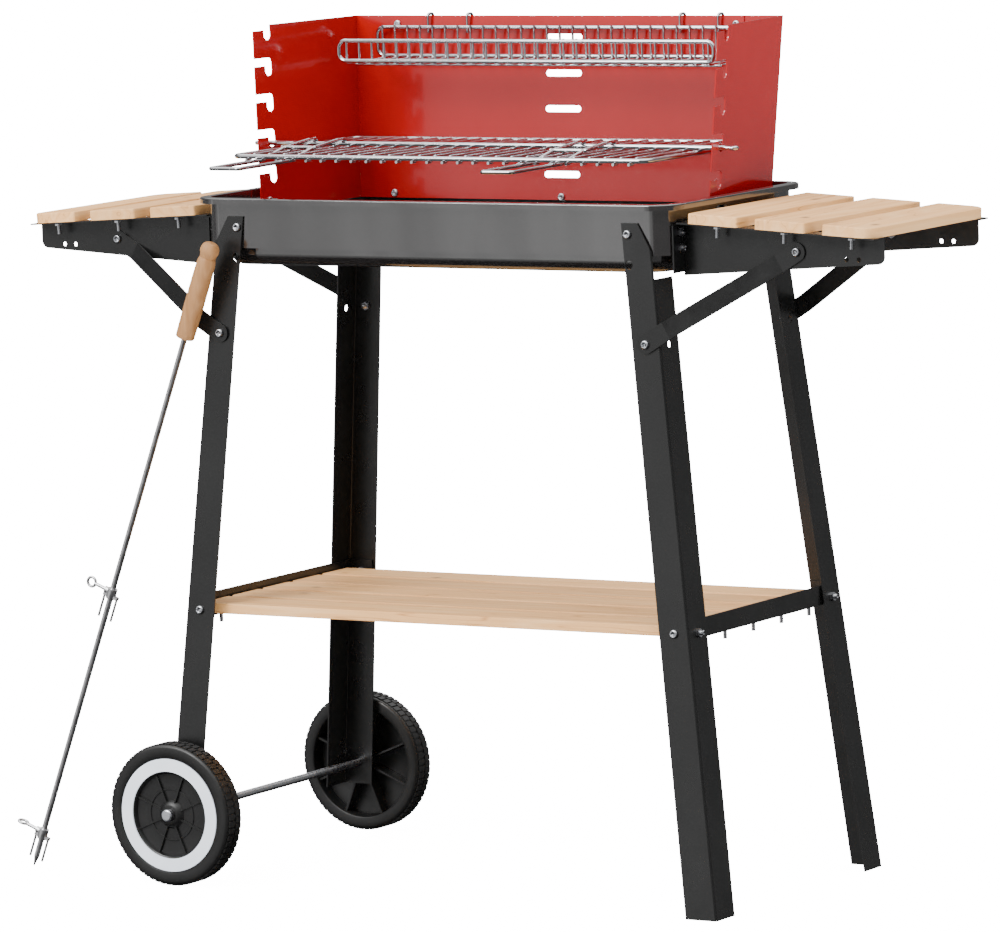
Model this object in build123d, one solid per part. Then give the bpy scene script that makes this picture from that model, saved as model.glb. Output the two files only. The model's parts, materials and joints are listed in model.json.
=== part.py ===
"""Trolley charcoal grill: open pan on four splayed legs, red windshield, grates, shelves and a spit.

Millimetres. X runs left to right, the front is -Y, Z is up and the floor is z = 0. Most shapes are
drawn once in the corner where X and Y are positive and mirrored from there.
"""

import os
from math import atan, degrees, sqrt

from build123d import *

os.makedirs("parts", exist_ok=True)

# Sheet, legs
SHEET = 1.5
LEG_FLANGE = 36.0
LEG_FOOT = (335.0, 170.0)
LEG_HEAD = (262.0, 133.5)
LEG_HEAD_Z = 684.0
LEG_TOP_Z = 697.0
LEG_INNER_TOP_X = 228.5
WHEEL_LEG_BOTTOM = 52.0
SIDE_FLANGE_TOP = 641.0

# Pan
PAN_X, PAN_Y, PAN_R = 280.0, 131.2, 20.0
TRAY_X, TRAY_Y, TRAY_R = 270.0, 120.0, 35.0
PAN_BOTTOM, PAN_STEP, PAN_TOP = 645.0, 664.0, 716.0
RIM_OUT = 10.0
RIM_LIP = 6.0

# Windshield
SHIELD_SHEET = 1.2
SHIELD_Z0, SHIELD_Z1 = 694.0, 886.0
SHIELD_LEAN = 0.1
SHIELD_REAR_Y = 127.4
PANEL_HALF = 217.0
WING_FRONT_LOW = Vector(272.5, -33.8, 694.0)
WING_FRONT_HIGH = Vector(283.5, -20.7, 886.0)
WING_REAR_LOW = Vector(252.0, 127.4, 694.0)
NOTCH_Z = (884.7, 847.3, 810.0, 773.0, 735.5)
NOTCH_DEPTH, NOTCH_HEIGHT, HOOK_WIDTH, HOOK_DROP = 27.0, 8.5, 11.0, 14.8
SLOT_Z = (863.4, 826.0, 788.9, 751.6, 720.5)

# Side shelves
BRACKET_Y = 98.0
BRACKET_END_X = 510.0
SHELF_X0, SHELF_Z0, SHELF_FALL = 299.0, 696.0, 0.0579
SIDE_BOARD_X = (326.5, 403.3, 480.0)
SIDE_BOARD_W, SIDE_BOARD_HALF, SIDE_BOARD_T = 57.0, 120.0, 10.5
SIDE_SCREW_Y = 109.0
BRACE_LEG = (257.5, 576.0)
BRACE_BRACKET = (411.0, 667.7)

# Lower shelf
RAIL_X, RAIL_Z0, RAIL_Z1, RAIL_HALF = 301.3, 279.5, 299.5, 152.2
SHELF_BOARD_W, SHELF_BOARD_T, SHELF_PITCH, SHELF_HALF = 50.0, 11.0, 57.0, 295.8
SHELF_SCREW_X = 289.0
SIDE_BOLT_Y, SIDE_BOLT_Z = 136.0, 286.0

# Wheels
WHEEL_R, WHEEL_W, WHEEL_Y0 = 75.0, 27.0, 169.0
AXLE_X, AXLE_Z, AXLE_R = -309.5, 75.0, 4.0

# Spit
SPIT_Y = -157.0
SPIT_TIP = Vector(-514.0, SPIT_Y, 3.0)
SPIT_HANDLE_LOW = Vector(-291.0, SPIT_Y, 572.0)
SPIT_R = 3.0

# Running clearance between a pin and its bore
FIT = 0.05

parts = {}


def corner(z):
    """|X| and |Y| of the outer edge of a leg at height z."""
    k = z / LEG_HEAD_Z
    return (
        LEG_FOOT[0] + (LEG_HEAD[0] - LEG_FOOT[0]) * k,
        LEG_FOOT[1] + (LEG_HEAD[1] - LEG_FOOT[1]) * k,
    )


SLOPE_X = (LEG_FOOT[0] - LEG_HEAD[0]) / LEG_HEAD_Z
SLOPE_Y = (LEG_FOOT[1] - LEG_HEAD[1]) / LEG_HEAD_Z
FACE_OUT = Vector(0, 1, SLOPE_Y).normalized()
SIDE_OUT = Vector(1, 0, SLOPE_X).normalized()


def plate(points, thickness):
    """Flat plate with the given outline, thickened along a vector."""
    outline = Wire.make_polygon([Vector(*p) for p in points], close=True)
    return Solid.extrude(Face(outline), Vector(*thickness))


def at(point, axis, shape):
    """Shape whose local Z is turned to axis at point."""
    return Plane(origin=Vector(*point), z_dir=Vector(*axis)).location * shape


def drill(point, axis, radius, depth=6.0):
    """Cutter centred on point."""
    return at(point, axis, Cylinder(radius, 2 * depth))


def wire_rod(points, radius, bend=0.0, close=False):
    """Round wire along points with bent corners."""
    if bend:
        path = FilletPolyline(*points, radius=bend, close=close)
    else:
        path = Polyline(*points, close=close)
    start = Plane(origin=path @ 0, z_dir=path % 0)
    return sweep(start * Circle(radius), path=path)


def bolt(head_r, head_h, shank_r, length):
    """Pan head screw, head up from z = 0 and shank down."""
    head = Cylinder(head_r, head_h, align=(Align.CENTER, Align.CENTER, Align.MIN))
    head = fillet(head.edges().sort_by(Axis.Z)[-1], 0.55 * head_h)
    cross = Box(1.2 * head_r, 0.9, 2.0) + Box(0.9, 1.2 * head_r, 2.0)
    shank = Cylinder(shank_r, length, align=(Align.CENTER, Align.CENTER, Align.MAX))
    return head + shank - Pos(0, 0, head_h) * cross


def nut(bore, height, flats):
    """Hexagon nut standing on z = 0."""
    body = extrude(RegularPolygon(flats / sqrt(3), 6), amount=height)
    return body - Cylinder(bore + FIT, 4 * height)


def group(shapes):
    """Separate solids kept in one part."""
    return Compound(children=[s for shape in shapes for s in shape.solids()])


def flip_x(shape):
    return mirror(shape, about=Plane.YZ)


def flip_y(shape):
    return mirror(shape, about=Plane.XZ)


def four(shape):
    """The shape in all four corners."""
    pair = [shape, flip_y(shape)]
    return pair + [flip_x(s) for s in pair]


# ---------------------------------------------------------------- legs
def leg(bottom, axle_hole):
    def face(x, z):
        return (x, corner(z)[1], z)

    def side(y, z):
        return (corner(z)[0], y, z)

    def inner_x(z):
        foot = LEG_FOOT[0] - LEG_FLANGE
        return foot + (LEG_INNER_TOP_X - foot) * z / LEG_TOP_Z

    wide = plate(
        [
            face(corner(bottom)[0], bottom),
            face(corner(LEG_TOP_Z)[0], LEG_TOP_Z),
            face(inner_x(LEG_TOP_Z), LEG_TOP_Z),
            face(inner_x(bottom), bottom),
        ],
        (0, -SHEET, 0),
    )
    narrow = plate(
        [
            side(corner(bottom)[1], bottom),
            side(corner(LEG_TOP_Z)[1], LEG_TOP_Z),
            side(corner(LEG_TOP_Z)[1] - LEG_FLANGE, LEG_TOP_Z),
            side(corner(bottom)[1] - LEG_FLANGE, bottom),
        ],
        (-SHEET, 0, 0),
    )
    body = (Part() + wide + narrow).solid()
    middle = corner(400.0)
    outer = Vertex(middle[0], middle[1], 400.0)
    body = fillet(min(body.edges(), key=lambda e: e.distance_to(outer)), 2.4)
    inner = Vertex(middle[0] - SHEET, middle[1] - SHEET, 400.0)
    body = fillet(min(body.edges(), key=lambda e: e.distance_to(inner)), 0.9)
    low, high = SIDE_FLANGE_TOP, LEG_TOP_Z + 20
    body -= plate(
        [
            (150, corner(low)[1] - SHEET, low),
            (320, corner(low)[1] - SHEET, low),
            (320, corner(high)[1] - SHEET, high),
            (150, corner(high)[1] - SHEET, high),
        ],
        (0, -80, 0),
    )
    body -= plate(
        [(263.9, 60, 668.0), (247.2, 60, 697.5), (247.2, 60, 730), (310, 60, 730), (310, 60, 668.0)],
        (0, 200, 0),
    )
    for x, z, r in ((236, 685.7, 2.75), (237.5, 655, 4.5), (257.5, 576, 2.75), (287.5, 286.6, 2.75)):
        body -= drill(face(x, z), FACE_OUT, r)
    for y, z, r in ((121, 575, 3.8), (SIDE_BOLT_Y, SIDE_BOLT_Z, 2.75)):
        body -= drill(side(y, z), SIDE_OUT, r)
    if axle_hole:
        body -= drill((-AXLE_X, corner(AXLE_Z)[1], AXLE_Z), (0, 1, 0), AXLE_R + FIT)
    return body


standing_leg = leg(0.0, False)
wheel_leg = leg(WHEEL_LEG_BOTTOM, True)
parts["leg_rear_right"] = standing_leg
parts["leg_front_right"] = flip_y(standing_leg)
parts["leg_rear_left"] = flip_x(wheel_leg)
parts["leg_front_left"] = flip_x(flip_y(wheel_leg))


# ---------------------------------------------------------------- pan
def block(half_x, half_y, r, z0, z1, bottom_r=0.0):
    body = extrude(Plane.XY.offset(z0) * RectangleRounded(2 * half_x, 2 * half_y, r), amount=z1 - z0)
    if bottom_r:
        body = fillet(body.faces().sort_by(Axis.Z)[0].edges(), bottom_r)
    return body


def pan_solid():
    body = block(PAN_X, PAN_Y, PAN_R, PAN_STEP, PAN_TOP)
    body += block(TRAY_X, TRAY_Y, TRAY_R, PAN_BOTTOM, PAN_STEP + 0.2, 12.0)
    rim_x, rim_y, rim_r = PAN_X + RIM_OUT, PAN_Y + RIM_OUT, PAN_R + RIM_OUT
    rim = block(rim_x, rim_y, rim_r, PAN_TOP - RIM_LIP, PAN_TOP)
    rim = fillet(rim.faces().sort_by(Axis.Z)[-1].edges(), 1.6)
    rim -= block(rim_x - SHEET, rim_y - SHEET, rim_r - SHEET, PAN_TOP - 9, PAN_TOP - SHEET)
    body += rim
    body -= block(PAN_X - SHEET, PAN_Y - SHEET, PAN_R - SHEET, PAN_STEP + SHEET, PAN_TOP + 2)
    body -= block(
        TRAY_X - SHEET, TRAY_Y - SHEET, TRAY_R - SHEET, PAN_BOTTOM + SHEET, PAN_STEP + SHEET + 0.2, 10.5
    )
    return body


pan = pan_solid()

# Bolts through leg and pan wall
pan_bolt_x, pan_bolt_z = 236.0, 685.7
pan_bolt_seat = Vector(pan_bolt_x, corner(pan_bolt_z)[1], pan_bolt_z)
pan_nut_seat = pan_bolt_seat - FACE_OUT * ((pan_bolt_seat.Y - PAN_Y + SHEET + 0.25) / FACE_OUT.Y)
leg_bolt = at(pan_bolt_seat, FACE_OUT, bolt(4.5, 2.6, 2.4, 9.4))
pan_nut = at(pan_nut_seat, -FACE_OUT, nut(2.4, 3.2, 8.0))
for cut in four(drill((pan_bolt_x, PAN_Y, pan_bolt_z), FACE_OUT, 2.8)):
    pan -= cut
parts["pan_leg_bolts"] = group(four(leg_bolt))
parts["pan_leg_nuts"] = group(four(pan_nut))


# ---------------------------------------------------------------- side shelf brackets
def shelf_z(x):
    """Height of the bracket top at |X|."""
    return SHELF_Z0 - SHELF_FALL * (x - SHELF_X0)


TAB_X = PAN_X + 0.02
TAB_BOLTS = ((107.0, 686.0), (107.0, 670.8))
END_HOLES = (467.0, 481.0)
SHELF_UP = Vector(SHELF_FALL, 0, 1).normalized()


def bracket():
    y0 = BRACKET_Y - SHEET
    end = BRACKET_END_X
    web = plate(
        [
            (TAB_X, y0, 642.0),
            (end, y0, 657.0),
            (end, y0, shelf_z(end)),
            (TAB_X, y0, shelf_z(TAB_X)),
        ],
        (0, SHEET, 0),
    )
    tip = Vertex(end, y0 + SHEET / 2, 657.0)
    web = fillet(min(web.edges(), key=lambda e: e.distance_to(tip)), 8.0)
    start = TAB_X + 4
    shelf = plate(
        [
            (start, y0, shelf_z(start)),
            (end, y0, shelf_z(end)),
            (end, y0, shelf_z(end) - SHEET),
            (start, y0, shelf_z(start) - SHEET),
        ],
        (0, 118.0 - y0, 0),
    )
    tab = Pos(TAB_X, y0, 646.0) * Box(SHEET, 120.0 - y0, 48.0, align=(Align.MIN, Align.MIN, Align.MIN))
    body = (Part() + web + shelf + tab).solid()
    for y, z in TAB_BOLTS:
        body -= drill((TAB_X, y, z), (1, 0, 0), 2.75)
    for x in END_HOLES:
        body -= drill((x, BRACKET_Y, 661.0), (0, 1, 0), 2.5, 4.0)
    body -= drill((BRACE_BRACKET[0], BRACKET_Y, BRACE_BRACKET[1]), (0, 1, 0), 2.75, 4.0)
    for x in SIDE_BOARD_X:
        body -= drill((x, SIDE_SCREW_Y, shelf_z(x)), SHELF_UP, 2.3, 4.0)
    return body


one_bracket = bracket()
parts["shelf_bracket_rear_right"] = one_bracket
parts["shelf_bracket_front_right"] = flip_y(one_bracket)
parts["shelf_bracket_rear_left"] = flip_x(one_bracket)
parts["shelf_bracket_front_left"] = flip_x(flip_y(one_bracket))

tab_bolts = []
tab_nuts = []
for y, z in TAB_BOLTS:
    tab_bolts += four(at((PAN_X - SHEET, y, z), (-1, 0, 0), bolt(4.0, 2.4, 2.4, 9.0)))
    tab_nuts += four(at((TAB_X + SHEET, y, z), (1, 0, 0), nut(2.4, 3.2, 8.0)))
    for cut in four(drill((PAN_X, y, z), (1, 0, 0), 2.75, 4.0)):
        pan -= cut
parts["tab_bolts"] = group(tab_bolts)
parts["tab_nuts"] = group(tab_nuts)


# ---------------------------------------------------------------- braces
BRACE_W, BRACE_T = 19.0, 2.0
BRACE_LEG_Y = corner(BRACE_LEG[1])[1] + 0.5
BRACE_END_Y = BRACKET_Y + 0.02


def brace():
    run = Vector(BRACE_BRACKET[0] - BRACE_LEG[0], 0, BRACE_BRACKET[1] - BRACE_LEG[1])
    length = run.length
    along = run.normalized()
    across = Vector(-along.Z, 0, along.X)
    origin = Vector(BRACE_LEG[0], 0, BRACE_LEG[1])
    half = BRACE_W / 2

    def point(s, y):
        return origin + along * s + Vector(0, y, 0) - across * half

    low = [(-half, BRACE_LEG_Y), (28.0, BRACE_LEG_Y), (length - 24.0, BRACE_END_Y), (length + half, BRACE_END_Y)]
    high = [(s + 0.3, y + BRACE_T) for s, y in reversed(low)]
    high[0] = (length + half, BRACE_END_Y + BRACE_T)
    high[-1] = (-half, BRACE_LEG_Y + BRACE_T)
    body = plate([point(s, y) for s, y in low + high], across * BRACE_W)
    round_ends = SlotOverall(length + BRACE_W, BRACE_W)
    middle = Plane(origin=origin + along * (length / 2), x_dir=along, z_dir=(0, 1, 0))
    body &= extrude(middle * round_ends, amount=200)
    body -= drill((BRACE_LEG[0], BRACE_LEG_Y, BRACE_LEG[1]), (0, 1, 0), 2.9)
    body -= drill((BRACE_BRACKET[0], BRACE_END_Y, BRACE_BRACKET[1]), (0, 1, 0), 2.75)
    return body


one_brace = brace()
parts["brace_rear_right"] = one_brace
parts["brace_front_right"] = flip_y(one_brace)
parts["brace_rear_left"] = flip_x(one_brace)
parts["brace_front_left"] = flip_x(flip_y(one_brace))

brace_screw = bolt(4.5, 2.6, 2.4, 11.0)
brace_nut = nut(2.4, 3.2, 8.0)
low_y = BRACE_LEG_Y + BRACE_T
high_y = BRACE_END_Y + BRACE_T
brace_bolts = four(at((BRACE_LEG[0], low_y, BRACE_LEG[1]), (0, 1, 0), brace_screw))
brace_bolts += four(at((BRACE_BRACKET[0], high_y, BRACE_BRACKET[1]), (0, 1, 0), brace_screw))
leg_inside = corner(BRACE_LEG[1])[1] - SHEET - 0.3
brace_nuts = four(at((BRACE_LEG[0], leg_inside, BRACE_LEG[1]), (0, -1, 0), brace_nut))
brace_nuts += four(at((BRACE_BRACKET[0], BRACKET_Y - SHEET, BRACE_BRACKET[1]), (0, -1, 0), brace_nut))
parts["brace_bolts"] = group(brace_bolts)
parts["brace_nuts"] = group(brace_nuts)


# ---------------------------------------------------------------- side shelf boards
def side_board(index):
    x = SIDE_BOARD_X[index]
    outline = Rectangle(SIDE_BOARD_W, 2 * SIDE_BOARD_HALF)
    outer_r = 18.0 if index == 2 else 2.5
    outline = fillet(outline.vertices().sort_by(Axis.X)[-2:], outer_r)
    outline = fillet(outline.vertices().sort_by(Axis.X)[:2], 2.5)
    board = extrude(outline, amount=SIDE_BOARD_T)
    board = fillet(board.faces().sort_by(Axis.Z)[-1].edges(), 1.5)
    for y in (-SIDE_SCREW_Y, SIDE_SCREW_Y):
        board -= Pos(0, y, 0) * Cylinder(2.1, 2 * (SIDE_BOARD_T - 2.5))
    return Pos(x, 0, shelf_z(x)) * Rot(0, degrees(atan(SHELF_FALL)), 0) * Pos(0, 0, 0.02) * board


def side_screws():
    """Threaded studs, one per board and bracket, blind in the board with a nut below."""
    shapes = []
    for x in SIDE_BOARD_X:
        top = Vector(x, SIDE_SCREW_Y, shelf_z(x)) + SHELF_UP * 7.5
        shapes.append(at(top, -SHELF_UP, Cylinder(2.0, 20.5, align=(Align.CENTER, Align.CENTER, Align.MIN))))
        seat = Vector(x, SIDE_SCREW_Y, shelf_z(x)) - SHELF_UP * (SHEET + 0.02)
        shapes.append(at(seat, -SHELF_UP, nut(2.0, 2.4, 7.0)))
    return shapes + [flip_y(s) for s in shapes]


for number in range(3):
    board = side_board(number)
    parts[f"right_shelf_board_{number + 1}"] = board
    parts[f"left_shelf_board_{number + 1}"] = flip_x(board)
screws = side_screws()
parts["side_shelf_screws_right"] = group(screws)
parts["side_shelf_screws_left"] = group([flip_x(s) for s in screws])


# ---------------------------------------------------------------- lower shelf
def shelf_rail():
    height = RAIL_Z1 - RAIL_Z0
    corner_box = (Align.MAX, Align.CENTER, Align.MIN)
    body = Pos(RAIL_X, 0, RAIL_Z0) * Box(SHEET, 2 * RAIL_HALF, height, align=corner_box)
    body += Pos(RAIL_X, 0, RAIL_Z0) * Box(22.0, 2 * RAIL_HALF, SHEET, align=corner_box)
    for side in (-1, 1):
        y = side * (RAIL_HALF - SHEET / 2)
        body += Pos(RAIL_X, y, RAIL_Z0) * Box(29.0, SHEET, height, align=corner_box)
        body -= drill((287.5, y, 286.6), (0, 1, 0), 2.9)
        body -= drill((RAIL_X, side * SIDE_BOLT_Y, 285.6), (1, 0, 0), 2.9, 4.0)
    for row in range(-2, 3):
        body -= drill((SHELF_SCREW_X, row * SHELF_PITCH, RAIL_Z0), (0, 0, 1), 2.3, 3.0)
    return body


right_rail = shelf_rail()
parts["shelf_rail_right"] = right_rail
parts["shelf_rail_left"] = flip_x(right_rail)

SHELF_Z = RAIL_Z0 + SHEET + 0.02
lower_board = Box(2 * SHELF_HALF, SHELF_BOARD_W, SHELF_BOARD_T, align=(Align.CENTER, Align.CENTER, Align.MIN))
lower_board = fillet(lower_board.edges().filter_by(Axis.X), 1.5)
for x in (-SHELF_SCREW_X, SHELF_SCREW_X):
    lower_board -= Pos(x, 0, 0) * Cylinder(2.1, 17.0)
for row in range(-2, 3):
    parts[f"lower_shelf_board_{row + 3}"] = Pos(0, row * SHELF_PITCH, SHELF_Z) * lower_board

lower_screws = []
for row in range(-2, 3):
    for x in (-SHELF_SCREW_X, SHELF_SCREW_X):
        base = Pos(x, row * SHELF_PITCH, RAIL_Z0)
        lower_screws.append(base * Pos(0, 0, 9.3) * Cylinder(2.0, 20.0, align=(Align.CENTER, Align.CENTER, Align.MAX)))
        lower_screws.append(base * Pos(0, 0, -2.42) * nut(2.0, 2.4, 7.0))
parts["lower_shelf_screws"] = group(lower_screws)

end_seat = Vector(287.5, corner(286.6)[1], 286.6)
end_nut = end_seat - FACE_OUT * ((end_seat.Y - RAIL_HALF + SHEET + 0.3) / FACE_OUT.Y)
side_nut = Vector(corner(SIDE_BOLT_Z)[0], SIDE_BOLT_Y, SIDE_BOLT_Z)
side_seat = side_nut - SIDE_OUT * ((side_nut.X - RAIL_X + SHEET + 0.75) / SIDE_OUT.X)
shelf_bolts = four(at(end_seat, FACE_OUT, bolt(4.5, 2.6, 2.4, 9.0)))
shelf_bolts += four(at(side_seat, -SIDE_OUT, bolt(4.5, 2.4, 2.4, 12.0)))
shelf_nuts = four(at(end_nut, -FACE_OUT, nut(2.4, 3.2, 8.0)))
shelf_nuts += four(at(side_nut, SIDE_OUT, nut(2.4, 3.2, 8.0)))
parts["shelf_bolts"] = group(shelf_bolts)
parts["shelf_nuts"] = group(shelf_nuts)


# ---------------------------------------------------------------- wheels
def wheel():
    """Wheel standing on its inner face, outer face up, axis along Z."""
    w, r = WHEEL_W, WHEEL_R
    bore = AXLE_R + FIT
    outline = [
        (bore, 0), (13, 0), (13, 19), (44, 19), (60, 17), (60, 2), (63, 0), (72, 0), (r, 3), (r, w - 3),
        (72, w), (60.2, w), (60.2, w - 1.5), (45.5, w - 1.5), (43, w - 5), (13, w - 5), (12, w - 1), (bore, w - 1),
    ]
    body = revolve(Plane.XZ * make_face(Polyline(*outline, close=True)), axis=Axis.Z)
    for k in range(8):
        turn = Rot(0, 0, 45 * k + 22.5)
        body += turn * Pos(28, 0, w - 5) * Box(32, 1.8, 3.0)
        body += turn * Pos(37, 0, 11) * Box(48, 2.2, 16.4)
    return body


wheel_body = wheel()
wheel_ring = Pos(0, 0, WHEEL_W - 1.48) * (Cylinder(59.5, 1.4) - Cylinder(46.0, 5.0))
wheel_ring = Pos(0, 0, 0.7) * wheel_ring
front_seat = Plane(origin=(AXLE_X, -WHEEL_Y0, AXLE_Z), x_dir=(1, 0, 0), z_dir=(0, -1, 0)).location
rear_seat = Plane(origin=(AXLE_X, WHEEL_Y0, AXLE_Z), x_dir=(1, 0, 0), z_dir=(0, 1, 0)).location
parts["wheel_front"] = front_seat * wheel_body
parts["wheel_rear"] = rear_seat * wheel_body
parts["wheel_ring_front"] = front_seat * wheel_ring
parts["wheel_ring_rear"] = rear_seat * wheel_ring
parts["axle"] = at((AXLE_X, 0, AXLE_Z), (0, 1, 0), Cylinder(AXLE_R, 400.0))
axle_cap = Cylinder(6.5, 6.0, align=(Align.CENTER, Align.CENTER, Align.MIN))
axle_cap = fillet(axle_cap.edges().sort_by(Axis.Z)[-1], 2.0)
axle_cap -= Cylinder(AXLE_R + 0.01, 9.4)
cap_y = WHEEL_Y0 + WHEEL_W - 0.7
parts["axle_caps"] = group([at((AXLE_X, s * cap_y, AXLE_Z), (0, s, 0), axle_cap) for s in (-1, 1)])


# ---------------------------------------------------------------- windshield
WING_ALONG = (WING_REAR_LOW - WING_FRONT_LOW).normalized()
WING_OUT = WING_ALONG.cross(WING_FRONT_HIGH - WING_FRONT_LOW).normalized()
WING_PLANE = Plane(origin=WING_FRONT_LOW, x_dir=WING_ALONG, z_dir=WING_OUT)
WING_UP = WING_PLANE.y_dir
SHIELD_TY = SHIELD_SHEET * sqrt(1 + SHIELD_LEAN**2)
PANEL_OUT = Vector(0, 1, -SHIELD_LEAN).normalized()


def shield_y(z):
    """Rear face of the wing flanges."""
    return SHIELD_REAR_Y + SHIELD_LEAN * (z - SHIELD_Z0)


def panel_face(z):
    """Rear face of the back panel, just in front of the wing flanges."""
    return shield_y(z) - SHIELD_TY - 0.02


def shield_seat(x, z):
    """Where a bolt head sits on the front of the back panel."""
    return Vector(x, panel_face(z) - SHIELD_TY, z)


def wing_x(y, z):
    """|X| of the outer face of a wing."""
    back = WING_OUT.Y * (y - WING_FRONT_LOW.Y) + WING_OUT.Z * (z - WING_FRONT_LOW.Z)
    return WING_FRONT_LOW.X - back / WING_OUT.X


def notch_centre(z):
    """Hook centre of the notch at height z, in the wing's own plane."""
    v = (z - SHIELD_Z0) / WING_UP.Z
    edge = (WING_FRONT_HIGH - WING_FRONT_LOW).dot(WING_ALONG) * (z - SHIELD_Z0) / (SHIELD_Z1 - SHIELD_Z0)
    return edge, v


def wing():
    rear_high = Vector(wing_x(shield_y(SHIELD_Z1), SHIELD_Z1), shield_y(SHIELD_Z1), SHIELD_Z1)
    low, high = WING_REAR_LOW, rear_high
    body = plate([WING_FRONT_LOW, low, high, WING_FRONT_HIGH], WING_OUT * -SHIELD_SHEET)
    flange = plate([low, (198, low.Y, low.Z), (198, high.Y, high.Z), high], (0, -SHIELD_TY, 0))
    body = (Part() + body + flange).solid()
    for z in NOTCH_Z:
        edge, v = notch_centre(z)
        reach = NOTCH_DEPTH + 5
        fall = HOOK_DROP - HOOK_WIDTH / 2
        hook_u = edge + NOTCH_DEPTH - HOOK_WIDTH / 2
        shape = Pos(edge + NOTCH_DEPTH - reach / 2, v) * Rectangle(reach, NOTCH_HEIGHT)
        shape += Pos(hook_u, v - fall / 2) * Rectangle(HOOK_WIDTH, fall)
        shape = fillet(shape.vertices().sort_by(Axis.Y)[-2:].sort_by(Axis.X)[-1], 4.0)
        shape += Pos(hook_u, v - fall) * Circle(HOOK_WIDTH / 2)
        body -= WING_PLANE.location * extrude(shape, amount=5, both=True)
    for z in (699.0, 877.0):
        body -= drill(shield_seat(208.0, z), PANEL_OUT, 2.2)
    body -= drill(WING_BOLT, WING_OUT, 2.2)
    return body


WING_BOLT = Vector(wing_x(-20.0, 703.0), -20.0, 703.0)
right_wing = wing()
parts["windshield_right_wing"] = right_wing
parts["windshield_left_wing"] = flip_x(right_wing)


def back_panel():
    low, high = panel_face(SHIELD_Z0), panel_face(SHIELD_Z1)
    body = plate(
        [
            (-PANEL_HALF, low, SHIELD_Z0),
            (PANEL_HALF, low, SHIELD_Z0),
            (PANEL_HALF, high, SHIELD_Z1),
            (-PANEL_HALF, high, SHIELD_Z1),
        ],
        (0, -SHIELD_TY, 0),
    )
    slot = extrude(SlotOverall(44.0, 7.0), amount=6, both=True)
    for z in SLOT_Z:
        face = Plane(origin=(0, panel_face(z), z), x_dir=(1, 0, 0), z_dir=PANEL_OUT)
        body -= face.location * slot
    for x, z in ((208, 699), (-208, 699), (208, 877), (-208, 877), (0, 697)):
        body -= drill(shield_seat(x, z), PANEL_OUT, 2.2)
    return body


parts["windshield_back"] = back_panel()

shield_bolts = []
shield_nuts = []
shield_spacers = []
for x, z in ((208, 699), (-208, 699), (0, 697)):
    front = shield_seat(x, z)
    shield_bolts.append(at(front, -PANEL_OUT, bolt(4.0, 2.4, 2.0, 13.5)))
    behind = front + PANEL_OUT * ((PAN_Y + 0.45 - front.Y) / PANEL_OUT.Y)
    shield_nuts.append(at(behind, PANEL_OUT, nut(2.0, 3.0, 7.0)))
    face_y = panel_face(z) if x == 0 else shield_y(z)
    sleeve = front + PANEL_OUT * ((face_y - front.Y) / PANEL_OUT.Y + 0.25)
    gap = PAN_Y - SHEET - sleeve.Y - 0.45
    tube = Cylinder(3.6, gap, align=(Align.CENTER, Align.CENTER, Align.MIN)) - Cylinder(2.1, 20)
    shield_spacers.append(at(sleeve, PANEL_OUT, tube))
    pan -= drill((x, PAN_Y, z - SHIELD_LEAN * (PAN_Y - front.Y)), PANEL_OUT, 2.5, 4.0)
for x in (208, -208):
    front = shield_seat(x, 877.0)
    shield_bolts.append(at(front, -PANEL_OUT, bolt(4.0, 2.4, 2.0, 9.0)))
    shield_nuts.append(at(front + PANEL_OUT * 2.65, PANEL_OUT, nut(2.0, 3.0, 7.0)))
inside = WING_BOLT - WING_OUT * SHIELD_SHEET
wing_bolt = at(inside, -WING_OUT, bolt(4.0, 2.4, 2.0, 16.5))
outside = WING_BOLT + WING_OUT * ((PAN_X + 0.75 - WING_BOLT.X) / WING_OUT.X)
wing_nut = at(outside, WING_OUT, nut(2.0, 3.0, 7.0))
sleeve_length = (PAN_X - SHEET - WING_BOLT.X) / WING_OUT.X - 0.75
tube = Cylinder(3.6, sleeve_length, align=(Align.CENTER, Align.CENTER, Align.MIN)) - Cylinder(2.1, 40)
wing_spacer = at(WING_BOLT + WING_OUT * 0.02, WING_OUT, tube)
wing_hole = drill(WING_BOLT + WING_OUT * ((PAN_X - 0.75 - WING_BOLT.X) / WING_OUT.X), WING_OUT, 2.6, 4.0)
shield_bolts += [wing_bolt, flip_x(wing_bolt)]
shield_nuts += [wing_nut, flip_x(wing_nut)]
shield_spacers += [wing_spacer, flip_x(wing_spacer)]
pan -= wing_hole
pan -= flip_x(wing_hole)
parts["windshield_bolts"] = group(shield_bolts)
parts["windshield_nuts"] = group(shield_nuts)
parts["windshield_spacers"] = group(shield_spacers)
parts["charcoal_pan"] = pan


# ---------------------------------------------------------------- charcoal grate
def loop_xy(half_x, y0, y1, z):
    """Rectangle of points at one height, started in the middle of the front side."""
    return [(0, y0, z), (half_x, y0, z), (half_x, y1, z), (-half_x, y1, z), (-half_x, y0, z)]


def closed_wire(points, radius, bend):
    """Closed bent wire through points, the first of which is in the middle of a straight side."""
    path = FilletPolyline(*points[1:], radius=bend, close=True)
    start = Plane(origin=path @ 0, z_dir=path % 0)
    return sweep(start * Circle(radius), path=path)


GRATE_FLOOR = PAN_STEP + SHEET + 2.55


def charcoal_grate():
    body = closed_wire(loop_xy(271.5, -121.8, 121.8, GRATE_FLOOR), 2.5, 30.0)
    for k in range(26):
        x = -250.0 + 20.0 * k
        body += wire_rod([(x, -121.0, GRATE_FLOOR), (x, 121.0, GRATE_FLOOR)], 1.9)
    for y in (-60.0, 60.0):
        body += wire_rod([(-262.0, y, GRATE_FLOOR - 3.6), (262.0, y, GRATE_FLOOR - 3.6)], 2.2)
    return body


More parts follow.
